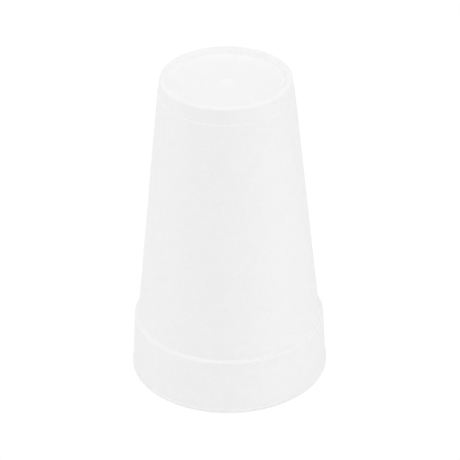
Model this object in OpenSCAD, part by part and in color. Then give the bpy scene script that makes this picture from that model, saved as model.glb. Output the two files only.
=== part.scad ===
// A moulded foam drinking cup, turned mouth down on its lip, with the base up.
// Z is 0 in the plane of the mouth and rises to the foot. The cup is one solid of revolution about Z.

/* [Mouth] */
// Outside diameter of the lip that a lid is pushed over
lip_d = 94; // [84:0.5:104]
// Height of the lip
lip_h = 1.6; // [1.2:0.1:3]
// How far the lip stands out from the foot of the band
lip_proud = 0.35; // [0.15:0.05:0.8]
// Radius on the edges of the lip
lip_round = 0.5; // [0.2:0.05:0.6]

/* [Band] */
// Height of the shoulder above the mouth, which is the step from cup to cup in a stack
band_h = 27.7; // [18:0.1:40]
// How much the radius of the band shrinks from the lip to the shoulder
band_taper = 1.3; // [0.4:0.1:2]
// Width of the shoulder that rests on the lip of the next cup in a stack
shoulder_w = 1.8; // [1.2:0.1:2.4]
// Radius on the outer edge of the shoulder
shoulder_round = 1; // [0.4:0.1:1.5]
// Radius in the nook between the shoulder and the body
shoulder_nook = 0.6; // [0.1:0.05:0.8]

/* [Body] */
// Whole height of the cup, from the mouth to the foot
height = 155.3; // [120:0.1:190]
// Thickness of the wall, measured square to it
wall = 2.2; // [1.6:0.1:2.6]

/* [Base] */
// Diameter across the outer edge of the foot
base_d = 61; // [54:0.2:68]
// Height of the foot, up to the step in the wall
foot_h = 8; // [5:0.1:14]
// Width of the step between the foot and the body
step_w = 0.4; // [0.2:0.05:1]
// Radius on the edge of the step
step_round = 0.25; // [0.1:0.05:0.5]
// Radius on the outer edge of the foot
foot_round = 1.2; // [0.4:0.1:1.4]
// Width of the ring that the upright cup stands on, edges included
ring_w = 2.5; // [2.1:0.1:4]
// Radius on the inner edge of the ring
ring_round = 0.4; // [0.1:0.05:0.6]
// Depth of the hollow inside the ring
recess_h = 3; // [2:0.1:6]
// Lean of the wall of the hollow, in degrees
recess_lean = 28; // [5:1:35]
// Radius round the floor of the hollow
recess_fillet = 2; // [0.5:0.1:3]
// Thickness of the floor of the cup
floor_t = 2.6; // [2:0.1:4]
// Radius between the wall and the floor, inside the cup
floor_fillet = 4; // [1:0.5:8]

/* [Filling mark] */
// Diameter of the low button that the bead filler leaves under the base
mark_d = 8; // [4:0.5:12]
// Height of the button
mark_h = 0.4; // [0.2:0.1:1]

/* [Hidden] */

// Steps round the whole cup, along a rounded corner and along the button's dome
$fn = 180;
corner_steps = 8;
dome_steps = 6;

// Share of an edge that the rounded corners at its two ends may take up together
edge_share = 0.96;

lip_r = lip_d / 2;
band_low_r = lip_r - lip_proud;
band_top_r = band_low_r - band_taper;
body_low_r = band_top_r - shoulder_w;
foot_r = base_d / 2;
step_z = height - foot_h;
recess_z = height - recess_h;
floor_z = recess_z - floor_t;
ring_r = foot_r - ring_w;
recess_r = ring_r - recess_h * tan(recess_lean);
mark_r = mark_d / 2;

// The body and the foot share one draft: the radius lost for each millimetre of height.
draft = (body_low_r - foot_r - step_w) / (height - band_h);
wall_across = wall * sqrt(1 + draft * draft);

// Outside radius of the body's cone at a height, and the radius inside it
function body_r(z) = body_low_r - draft * (z - band_h);
function inner_r(z) = body_r(z) - wall_across;

function unit(v) = v / norm(v);
function xy(p) = [p.x, p.y];

// Half the angle at corner i of a ring of points, and the length that its radius takes from each edge
function half_angle(p, i) =
    let (n = len(p), at = xy(p[i]))
    acos(unit(xy(p[(i + n - 1) % n]) - at) * unit(xy(p[(i + 1) % n]) - at)) / 2;
function reach(p, i) = p[i].z / tan(half_angle(p, i));

// Share of its radius that corner i keeps, so that neighbouring corners never run into each other
function edge_fit(p, i, j) =
    let (both = reach(p, i) + reach(p, j))
    both == 0 ? 1 : edge_share * norm(xy(p[i]) - xy(p[j])) / both;
function corner_fit(p, i) =
    let (n = len(p))
    min(1, edge_fit(p, i, (i + n - 1) % n), edge_fit(p, i, (i + 1) % n));

// The points that stand for corner i: itself where it is sharp, or else an arc
function corner(p, i) =
    p[i].z == 0 ? [xy(p[i])] :
    let (
        n = len(p),
        at = xy(p[i]),
        back = unit(xy(p[(i + n - 1) % n]) - at),
        on = unit(xy(p[(i + 1) % n]) - at),
        half = half_angle(p, i),
        r = p[i].z * corner_fit(p, i),
        centre = at + unit(back + on) * r / sin(half),
        from = at + back * r / tan(half) - centre,
        turn = (180 - 2 * half) * sign(cross(on, back)),
        start = atan2(from.y, from.x)
    )
    [for (k = [0 : corner_steps]) centre + r * [cos(start + turn * k / corner_steps),
                                                sin(start + turn * k / corner_steps)]];

// A ring of [x, y, radius] corners as plain points, with every corner rounded
function rounded(p) = [for (i = [0 : len(p) - 1]) each corner(p, i)];

// The shallow dome of the button, from its edge to its middle
function dome(r, h, z) =
    let (ball_r = (r * r + h * h) / (2 * h), open = asin(r / ball_r))
    [for (k = [0 : dome_steps])
        let (a = open * (1 - k / dome_steps))
        [ball_r * sin(a), z + h - ball_r * (1 - cos(a)), 0]];

// The section of the cup from the axis outwards, as [radius, height, corner radius]
mouth_edge = [
    [inner_r(0), 0, lip_round],
    [lip_r, 0, lip_round],
    [lip_r, lip_h, lip_round],
    [band_low_r, lip_h, lip_round]
];
shoulder = [
    [band_top_r, band_h, shoulder_round],
    [body_low_r, band_h, shoulder_nook]
];
foot = [
    [body_r(step_z), step_z, step_round],
    [body_r(step_z) - step_w, step_z, step_round],
    [foot_r, height, foot_round],
    [ring_r, height, ring_round]
];
base_floor = [
    [recess_r, recess_z, recess_fillet],
    each dome(mark_r, mark_h, recess_z),
    [0, floor_z, 0],
    [inner_r(floor_z), floor_z, floor_fillet]
];

module cup() {
    color("white")
        rotate_extrude()
            polygon(rounded([each mouth_edge, each shoulder, each foot, each base_floor]));
}

cup();
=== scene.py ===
"""A white foam cup that stands mouth down on a pale floor, in soft studio light."""
import math

import bpy
import numpy as np
from mathutils import Matrix, Vector, noise

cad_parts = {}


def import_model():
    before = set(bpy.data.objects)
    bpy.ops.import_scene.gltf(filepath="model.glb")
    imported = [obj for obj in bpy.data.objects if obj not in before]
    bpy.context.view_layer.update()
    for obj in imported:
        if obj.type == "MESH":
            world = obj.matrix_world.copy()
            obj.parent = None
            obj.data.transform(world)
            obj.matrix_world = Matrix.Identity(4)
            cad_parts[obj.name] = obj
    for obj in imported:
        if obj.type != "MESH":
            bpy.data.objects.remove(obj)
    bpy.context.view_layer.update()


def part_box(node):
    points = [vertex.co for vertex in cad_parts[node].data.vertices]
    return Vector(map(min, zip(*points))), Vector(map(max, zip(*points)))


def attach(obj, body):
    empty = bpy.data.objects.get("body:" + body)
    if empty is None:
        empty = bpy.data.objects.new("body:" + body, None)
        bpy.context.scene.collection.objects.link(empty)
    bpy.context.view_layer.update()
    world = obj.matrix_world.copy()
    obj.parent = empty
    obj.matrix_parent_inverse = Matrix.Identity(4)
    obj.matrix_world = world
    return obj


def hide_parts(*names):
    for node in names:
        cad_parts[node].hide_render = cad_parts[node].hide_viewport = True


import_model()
MM = 0.001

# The cup's section, in millimetres, to the model's sizes
high_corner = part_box("cup")[1]
HEIGHT = round(high_corner.z / MM, 2)
LIP_R = 47.0
LIP_H = 1.6
LIP_PROUD = 0.35
LIP_ROUND = 0.5
LIP_SOFT = 0.17
BAND_H = 27.7
BAND_TAPER = 1.3
SHOULDER_W = 1.8
SHOULDER_ROUND = 1.0
SHOULDER_NOOK = 0.6
WALL = 2.2
FOOT_R = 30.5
FOOT_H = 8.0
STEP_W = 0.4
STEP_ROUND = 0.18
FOOT_ROUND = 1.2
RING_W = 2.5
RING_ROUND = 0.4
RECESS_H = 3.0
RECESS_LEAN = math.radians(28)
RECESS_FILLET = 2.0
FLOOR_T = 2.6
FLOOR_FILLET = 4.0
MARK_R = 4.0
MARK_H = 0.4
MARK_FOOT = 0.6

# How finely the section and the round are drawn
SEGMENTS = 240
CORNER_STEPS = 6
RING_GAP = 2.2
DOME_STEPS = 5

# The wall's own unevenness, in millimetres, and the width of its swells
UNEVEN = 0.02
SWELL_W = 22.0

# The photograph's camera looks along +Y and down. Its distance is in metres and its aim in millimetres
FRAME_PX = 460
FOCAL_PX = 2745.5
SENSOR_MM = 36.0
CAMERA_DISTANCE = 1.3
CAMERA_ELEVATION = math.radians(31.57)
CAMERA_ROLL = math.radians(-0.712)
AIM_RIGHT = 1.0
AIM_SHARE = 0.4691
AIM = Vector((AIM_RIGHT, 0.0, AIM_SHARE * HEIGHT)) * MM

# The foam: its colour, and its beads and skin in millimetres. A tone is a share of the brightness
FOAM_COLOUR = (0.93, 0.93, 0.935)
FOAM_IOR = 1.45
FOAM_ROUGH = 0.6
ROUGH_SWING = 0.03
ROUGH_W = 14.0
BEAD_W = 1.4
BEAD_RISE = 0.012
BEAD_REACH = 0.7
BEAD_TONE = 0.015
SEAM_W = 0.09
SEAM_DEPTH = 0.025
SEAM_TONE = 0.03
FUSED_W = 7.0
FUSED_SHARE = 0.35
FUSED_ENDS = (0.35, 0.65)
GRAIN_W = 0.15
GRAIN_H = 0.004
# How much lighter the button in the base is painted, and the width of the soft edge of that painted patch
BUTTON_LIGHTENING = 0.018
MARK_SOFT = 0.8

# The studio, in metres and watts. The floor looks white and keeps a small share of its own shade
WHITE = (1.0, 1.0, 1.0, 1.0)
FLOOR_SIZE = 12.0
FLOOR_COLOUR = (0.95, 0.95, 0.95, 1.0)
FLOOR_WHITE = 1.03
SHADOW_SHARE = 0.15
WORLD_STRENGTH = 0.709
LAMP_DISTANCE = 1.3
LAMP_SIZE = 0.9

# Each lamp's name, its azimuth and elevation in degrees, and its power
LAMPS = (
    ("front", 0, 20, 1.25),
    ("right", 75, 20, 2.34),
    ("left", -90, 12, 1.37),
    ("left_high", -90, 45, 1.24),
    ("top", 0, 90, 2.96),
)


def rounded(corners):
    """A ring of (x, y, radius) corners as plain points, where each corner with a radius is an arc."""
    points = []
    for i, (x, y, radius) in enumerate(corners):
        at = np.array([x, y], float)
        if radius == 0:
            points.append(at)
            continue
        back = np.array(corners[i - 1][:2], float) - at
        on = np.array(corners[(i + 1) % len(corners)][:2], float) - at
        back /= np.linalg.norm(back)
        on /= np.linalg.norm(on)
        half = math.acos(float(back @ on)) / 2
        middle = (back + on) / np.linalg.norm(back + on)
        centre = at + middle * radius / math.sin(half)
        start = at + back * radius / math.tan(half) - centre
        turn = (math.pi - 2 * half) * math.copysign(1, on[0] * back[1] - on[1] * back[0])
        for k in range(CORNER_STEPS + 1):
            angle = math.atan2(start[1], start[0]) + turn * k / CORNER_STEPS
            points.append(centre + radius * np.array([math.cos(angle), math.sin(angle)]))
    return points


def dome(radius, height, z):
    """The button's shallow dome, from its foot to its top on the axis."""
    ball = (radius ** 2 + height ** 2) / (2 * height)
    spread = math.asin(radius / ball)
    angles = [spread * (1 - k / DOME_STEPS) for k in range(DOME_STEPS + 1)]
    rim = [(ball * math.sin(angles[0]), z, MARK_FOOT)]
    return rim + [(ball * math.sin(a), z + height - ball * (1 - math.cos(a)), 0) for a in angles[1:]]


def section():
    """Half the cup's section, as (radius, height) points from the floor's middle to the button's top."""
    band_low = LIP_R - LIP_PROUD
    band_top = band_low - BAND_TAPER
    body_low = band_top - SHOULDER_W
    step_z = HEIGHT - FOOT_H
    recess_z = HEIGHT - RECESS_H
    floor_z = recess_z - FLOOR_T
    draft = (body_low - FOOT_R - STEP_W) / (HEIGHT - BAND_H)
    across = WALL * math.hypot(1, draft)
    ring_in = FOOT_R - RING_W

    def body(z):
        return body_low - draft * (z - BAND_H)

    corners = [
        (0, floor_z, 0),
        (body(floor_z) - across, floor_z, FLOOR_FILLET),
        (body(0) - across, 0, LIP_ROUND),
        (LIP_R, 0, LIP_ROUND),
        (LIP_R, LIP_H, LIP_SOFT),
        (band_low, LIP_H, LIP_SOFT),
        (band_top, BAND_H, SHOULDER_ROUND),
        (body_low, BAND_H, SHOULDER_NOOK),
        (body(step_z), step_z, STEP_ROUND),
        (body(step_z) - STEP_W, step_z, STEP_ROUND),
        (FOOT_R, HEIGHT, FOOT_ROUND),
        (ring_in, HEIGHT, RING_ROUND),
        (ring_in - RECESS_H * math.tan(RECESS_LEAN), recess_z, RECESS_FILLET),
        *dome(MARK_R, MARK_H, recess_z),
    ]
    return filled_in(rounded(corners))


def filled_in(points):
    """The same line with more points along its long straights, closer together towards their ends."""
    line = [points[0]]
    for start, end in zip(points, points[1:]):
        steps = max(1, math.ceil(float(np.linalg.norm(end - start)) / RING_GAP) * 2 - 1)
        for k in range(1, steps + 1):
            share = (1 - math.cos(math.pi * k / steps)) / 2
            line.append(start + (end - start) * share)
    return np.array(line)


def uneven(place):
    """How far the wall swells at a place, in millimetres."""
    return UNEVEN * noise.noise(Vector(place) / SWELL_W)


def revolve(name, line):
    """A mesh of the line turned about Z, with one point at each end on the axis."""
    count = len(line) - 2
    turns = np.arange(SEGMENTS) * 2 * math.pi / SEGMENTS
    rings = line[1:-1]
    slope = np.gradient(line, axis=0)[1:-1]
    outward = np.stack([-slope[:, 1], slope[:, 0]], axis=1)
    outward /= np.linalg.norm(outward, axis=1)[:, None]
    vertices = []
    for (r, z), (nr, nz) in zip(rings, outward):
        for turn in turns:
            c, s = math.cos(turn), math.sin(turn)
            swell = uneven((r * c, r * s, z)) * min(1.0, r / FOOT_R)
            vertices.append(((r + nr * swell) * c * MM, (r + nr * swell) * s * MM, z * MM))
    vertices.append((0, 0, line[0][1] * MM))
    vertices.append((0, 0, line[-1][1] * MM))
    faces = []
    for i in range(count - 1):
        for k in range(SEGMENTS):
            j = (k + 1) % SEGMENTS
            low, high = i * SEGMENTS, (i + 1) * SEGMENTS
            faces.append((low + k, low + j, high + j, high + k))
    first, last = len(vertices) - 2, len(vertices) - 1
    for k in range(SEGMENTS):
        j = (k + 1) % SEGMENTS
        faces.append((first, j, k))
        faces.append((last, (count - 1) * SEGMENTS + k, (count - 1) * SEGMENTS + j))
    mesh = bpy.data.meshes.new(name)
    mesh.from_pydata(vertices, [], faces)
    mesh.validate()
    mesh.shade_smooth()
    piece = bpy.data.objects.new(name, mesh)
    bpy.context.scene.collection.objects.link(piece)
    return piece


class Nodes:
    """The node tree of a material or a world, with short ways to add nodes and to join them."""

    def __init__(self, owner):
        owner.use_nodes = True
        self.tree = owner.node_tree
        self.tree.nodes.clear()

    def add(self, kind, **settings):
        node = self.tree.nodes.new(kind)
        for key, value in settings.items():
            setattr(node, key, value)
        return node

    def join(self, source, socket):
        self.tree.links.new(source, socket)

    def work_out(self, operation, *terms):
        """The result of one sum, whose terms are numbers or sockets."""
        node = self.add("ShaderNodeMath", operation=operation)
        for term, socket in zip(terms, node.inputs):
            if isinstance(term, (int, float)):
                socket.default_value = term
            else:
                self.join(term, socket)
        return node.outputs["Value"]

    def ranged(self, source, ends, results=(0.0, 1.0), kind="LINEAR"):
        """The source carried from one pair of ends to another."""
        node = self.add("ShaderNodeMapRange", interpolation_type=kind)
        node.inputs["From Min"].default_value, node.inputs["From Max"].default_value = ends
        node.inputs["To Min"].default_value, node.inputs["To Max"].default_value = results
        self.join(source, node.inputs["Value"])
        return node.outputs["Result"]

    def clouds(self, place, width, detail=2):
        """Soft noise, from 0 to 1, with patches of about this width in millimetres."""
        node = self.add("ShaderNodeTexNoise")
        node.inputs["Scale"].default_value = 1 / (width * MM)
        node.inputs["Detail"].default_value = detail
        self.join(place, node.inputs["Vector"])
        return node.outputs["Fac"]

    def cells(self, place, width, feature):
        """The Voronoi cells that stand for the beads, of about this width in millimetres."""
        node = self.add("ShaderNodeTexVoronoi", feature=feature)
        node.inputs["Scale"].default_value = 1 / (width * MM)
        self.join(place, node.inputs["Vector"])
        return node.outputs


def open_seams(nodes, place):
    """1 in the middle of the seams between the beads, less where beads have fused, and 0 on the beads."""
    distance = nodes.cells(place, BEAD_W, "DISTANCE_TO_EDGE")["Distance"]
    seam = nodes.ranged(distance, (0, SEAM_W / BEAD_W), (1, 0), "SMOOTHSTEP")
    share = nodes.ranged(nodes.clouds(place, FUSED_W), FUSED_ENDS, (FUSED_SHARE, 1))
    return nodes.work_out("MULTIPLY", seam, share)


def bead_greys(nodes, place):
    """A number from 0 to 1 that is each bead's own."""
    split = nodes.add("ShaderNodeSeparateColor")
    nodes.join(nodes.cells(place, BEAD_W, "F1")["Color"], split.inputs["Color"])
    return split.outputs["Red"]


def lightened_button(nodes, place):
    """1 on the button that the bead filler left in the base, where the foam is painted a little lighter,
    or else 0.
    """
    split = nodes.add("ShaderNodeSeparateXYZ")
    nodes.join(place, split.inputs["Vector"])
    flat = nodes.add("ShaderNodeCombineXYZ")
    nodes.join(split.outputs["X"], flat.inputs["X"])
    nodes.join(split.outputs["Y"], flat.inputs["Y"])
    reach = nodes.add("ShaderNodeVectorMath", operation="LENGTH")
    nodes.join(flat.outputs["Vector"], reach.inputs[0])
    inside = nodes.ranged(reach.outputs["Value"], (MARK_R * MM, (MARK_R - MARK_SOFT) * MM))
    above = nodes.work_out("GREATER_THAN", split.outputs["Z"], (HEIGHT - RECESS_H - FLOOR_T / 2) * MM)
    return nodes.work_out("MULTIPLY", inside, above)


def relief(nodes, place, seam):
    """The height of the foam's skin in millimetres: pillowed beads, their seams and a fine grain."""
    middle = nodes.cells(place, BEAD_W, "F1")["Distance"]
    pillow = nodes.ranged(middle, (0, BEAD_REACH), (BEAD_RISE, 0), "SMOOTHSTEP")
    sunk = nodes.work_out("MULTIPLY", seam, -SEAM_DEPTH)
    grain = nodes.work_out("MULTIPLY", nodes.clouds(place, GRAIN_W), GRAIN_H)
    return nodes.work_out("ADD", nodes.work_out("ADD", pillow, sunk), grain)


def foam():
    """Moulded bead foam: white and nearly matt, with faint seams between its beads."""
    material = bpy.data.materials.new("foam")
    nodes = Nodes(material)
    place = nodes.add("ShaderNodeTexCoord").outputs["Object"]
    seam = open_seams(nodes, place)
    grey = bead_greys(nodes, place)
    bead_tone = nodes.ranged(grey, (0, 1), (1 - BEAD_TONE, 1))
    seam_tone = nodes.ranged(seam, (0, 1), (1, 1 - SEAM_TONE))
    # The button is painted a little lighter than the foam around it
    button_lightening = nodes.ranged(lightened_button(nodes, place), (0, 1), (1, 1 + BUTTON_LIGHTENING))
    tone = nodes.work_out("MULTIPLY", nodes.work_out("MULTIPLY", bead_tone, seam_tone), button_lightening)
    colour = nodes.add("ShaderNodeVectorMath", operation="SCALE")
    colour.inputs[0].default_value = FOAM_COLOUR
    nodes.join(tone, colour.inputs["Scale"])
    own_rough = nodes.ranged(grey, (0, 1), (FOAM_ROUGH - ROUGH_SWING, FOAM_ROUGH + ROUGH_SWING))
    cloudy = nodes.ranged(nodes.clouds(place, ROUGH_W, detail=3), (0, 1), (-ROUGH_SWING, ROUGH_SWING))
    rough = nodes.work_out("ADD", own_rough, cloudy)
    bump = nodes.add("ShaderNodeBump")
    bump.inputs["Strength"].default_value = 1.0
    bump.inputs["Distance"].default_value = MM
    nodes.join(relief(nodes, place, seam), bump.inputs["Height"])
    shader = nodes.add("ShaderNodeBsdfPrincipled")
    shader.inputs["IOR"].default_value = FOAM_IOR
    nodes.join(colour.outputs["Vector"], shader.inputs["Base Color"])
    nodes.join(rough, shader.inputs["Roughness"])
    nodes.join(bump.outputs["Normal"], shader.inputs["Normal"])
    out = nodes.add("ShaderNodeOutputMaterial")
    nodes.join(shader.outputs["BSDF"], out.inputs["Surface"])
    return material


def seen_directly(nodes):
    """1 for a ray from the camera, from a mirror or through glass, and 0 for one that lights something."""
    path = nodes.add("ShaderNodeLightPath").outputs
    mirrored = nodes.work_out("MAXIMUM", path["Is Camera Ray"], path["Is Glossy Ray"])
    return nodes.work_out("MAXIMUM", mirrored, path["Is Transmission Ray"])


def floor():
    """A wide pale floor, seen as white with a small share of its own light and shade."""
    half = FLOOR_SIZE / 2
    corners = [(-half, -half, 0), (half, -half, 0), (half, half, 0), (-half, half, 0)]
    mesh = bpy.data.meshes.new("floor")
    mesh.from_pydata(corners, [], [(0, 1, 2, 3)])
    plane = bpy.data.objects.new("floor", mesh)
    bpy.context.scene.collection.objects.link(plane)
    material = bpy.data.materials.new("floor")
    nodes = Nodes(material)
    matt = nodes.add("ShaderNodeBsdfDiffuse")
    matt.inputs["Color"].default_value = FLOOR_COLOUR
    white = nodes.add("ShaderNodeEmission")
    white.inputs["Strength"].default_value = FLOOR_WHITE
    both = nodes.add("ShaderNodeMixShader")
    nodes.join(nodes.work_out("MULTIPLY", seen_directly(nodes), 1 - SHADOW_SHARE), both.inputs["Fac"])
    nodes.join(matt.outputs["BSDF"], both.inputs[1])
    nodes.join(white.outputs["Emission"], both.inputs[2])
    out = nodes.add("ShaderNodeOutputMaterial")
    nodes.join(both.outputs["Shader"], out.inputs["Surface"])
    mesh.materials.append(material)


def world():
    """An even white surround, which looks white wherever it is seen."""
    sky = bpy.data.worlds.new("studio")
    nodes = Nodes(sky)
    light = nodes.add("ShaderNodeBackground")
    light.inputs["Color"].default_value = WHITE
    strength = nodes.ranged(seen_directly(nodes), (0, 1), (WORLD_STRENGTH, 1))
    nodes.join(strength, light.inputs["Strength"])
    out = nodes.add("ShaderNodeOutputWorld")
    nodes.join(light.outputs["Background"], out.inputs["Surface"])
    bpy.context.scene.world = sky


def lamp(name, azimuth, elevation, watts):
    """A square soft box that faces the cup. Azimuth 0 is the camera's side, and 90 is to its right."""
    light = bpy.data.lights.new(name, "AREA")
    light.shape = "SQUARE"
    light.size = LAMP_SIZE
    light.energy = watts
    piece = bpy.data.objects.new(name, light)
    a, e = math.radians(azimuth), math.radians(elevation)
    middle = Vector((0, 0, HEIGHT * MM / 2))
    towards = Vector((math.sin(a) * math.cos(e), -math.cos(a) * math.cos(e), math.sin(e)))
    piece.location = middle + LAMP_DISTANCE * towards
    piece.rotation_euler = (middle - piece.location).to_track_quat("-Z", "Y").to_euler()
    bpy.context.scene.collection.objects.link(piece)


def camera():
    """The camera of the photograph."""
    data = bpy.data.cameras.new("camera")
    data.sensor_width = SENSOR_MM
    data.lens = FOCAL_PX / FRAME_PX * SENSOR_MM
    piece = bpy.data.objects.new("camera", data)
    back = Vector((0, -math.cos(CAMERA_ELEVATION), math.sin(CAMERA_ELEVATION)))
    place = Vector((0, 0, AIM.z)) + back * CAMERA_DISTANCE
    look = (AIM - place).to_track_quat("-Z", "Y").to_matrix().to_4x4()
    piece.matrix_world = Matrix.Translation(place) @ look @ Matrix.Rotation(CAMERA_ROLL, 4, "Z")
    bpy.context.scene.collection.objects.link(piece)
    bpy.context.scene.camera = piece


camera()
cup = revolve("foam_cup", section())
cup.data.materials.append(foam())
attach(cup, "root")
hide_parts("cup")

floor()
world()
for name, azimuth, elevation, watts in LAMPS:
    lamp(name, azimuth, elevation, watts)

bpy.context.scene.view_settings.view_transform = "Standard"
